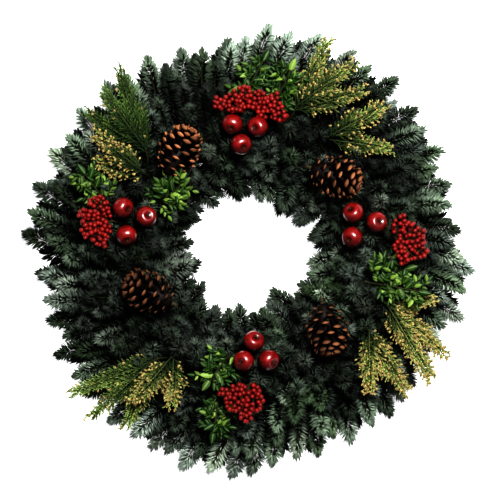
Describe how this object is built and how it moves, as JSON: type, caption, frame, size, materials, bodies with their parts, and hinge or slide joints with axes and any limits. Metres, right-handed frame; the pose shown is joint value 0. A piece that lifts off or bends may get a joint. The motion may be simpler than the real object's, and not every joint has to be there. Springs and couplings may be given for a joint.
{
  "type": "evergreen wreath",
  "caption": "Round fresh evergreen wreath of noble fir on a wire ring, with cedar, glossy leaves, pine cones, small red apples and berries.",
  "frame": {"origin": "middle of the underside of the box round the whole wreath, on the surface that it lies on", "axes": "+Z out of the wreath's decorated face, +Y towards the apples at its top, +X to its right"},
  "size_m": [0.6586, 0.6634, 0.1268],
  "materials": {
    "frame_wire": "dark green enamelled steel wire",
    "florist_wire": "dark green enamelled wire",
    "fir_green_needles": "fresh dark green noble fir needles on woody twigs",
    "fir_blue_needles": "fresh blue-green noble fir needles with a pale bloom",
    "cedar_sprays": "flat scale-leaved sprays with golden pollen tips",
    "evergreen_leaves": "bright green glossy leaves",
    "cone_wood": "red-brown woody scales",
    "berry_lacquer": "satin red",
    "apple_lacquer": "high gloss red"
  },
  "bodies": {
    "root": {"apple_bottom_1": "apple_lacquer", "apple_bottom_2": "apple_lacquer", "apple_bottom_3": "apple_lacquer", "apple_left_1": "apple_lacquer", "apple_left_2": "apple_lacquer", "apple_left_3": "apple_lacquer", "apple_right_1": "apple_lacquer", "apple_right_2": "apple_lacquer", "apple_right_3": "apple_lacquer", "apple_top_1": "apple_lacquer", "apple_top_2": "apple_lacquer", "apple_top_3": "apple_lacquer", "berry_pick_bottom": "berry_lacquer", "berry_pick_left": "berry_lacquer", "berry_pick_right": "berry_lacquer", "berry_pick_top": "berry_lacquer", "cedar_lower_left_inner": "cedar_sprays", "cedar_lower_left_outer": "cedar_sprays", "cedar_lower_right_inner": "cedar_sprays", "cedar_lower_right_outer": "cedar_sprays", "cedar_upper_left_inner": "cedar_sprays", "cedar_upper_left_outer": "cedar_sprays", "cedar_upper_right_inner": "cedar_sprays", "cedar_upper_right_outer": "cedar_sprays", "cone_lower_left": "cone_wood", "cone_lower_right": "cone_wood", "cone_upper_left": "cone_wood", "cone_upper_right": "cone_wood", "cone_wire_lower_left": "florist_wire", "cone_wire_lower_right": "florist_wire", "cone_wire_upper_left": "florist_wire", "cone_wire_upper_right": "florist_wire", "fir_bunch_01": "fir_blue_needles", "fir_bunch_02": "fir_green_needles", "fir_bunch_03": "fir_blue_needles", "fir_bunch_04": "fir_green_needles", "fir_bunch_05": "fir_blue_needles", "fir_bunch_06": "fir_green_needles", "fir_bunch_07": "fir_blue_needles", "fir_bunch_08": "fir_blue_needles", "fir_bunch_09": "fir_green_needles", "fir_bunch_10": "fir_blue_needles", "fir_bunch_11": "fir_green_needles", "fir_bunch_12": "fir_blue_needles", "fir_bunch_13": "fir_blue_needles", "fir_bunch_14": "fir_green_needles", "fir_bunch_15": "fir_blue_needles", "fir_bunch_16": "fir_green_needles", "leaf_sprig_bottom_inner": "evergreen_leaves", "leaf_sprig_bottom_outer": "evergreen_leaves", "leaf_sprig_left_inner": "evergreen_leaves", "leaf_sprig_left_outer": "evergreen_leaves", "leaf_sprig_right_inner": "evergreen_leaves", "leaf_sprig_right_outer": "evergreen_leaves", "leaf_sprig_top_left": "evergreen_leaves", "leaf_sprig_top_right": "evergreen_leaves", "wire_ring": "frame_wire"}
  },
  "joints": []
}
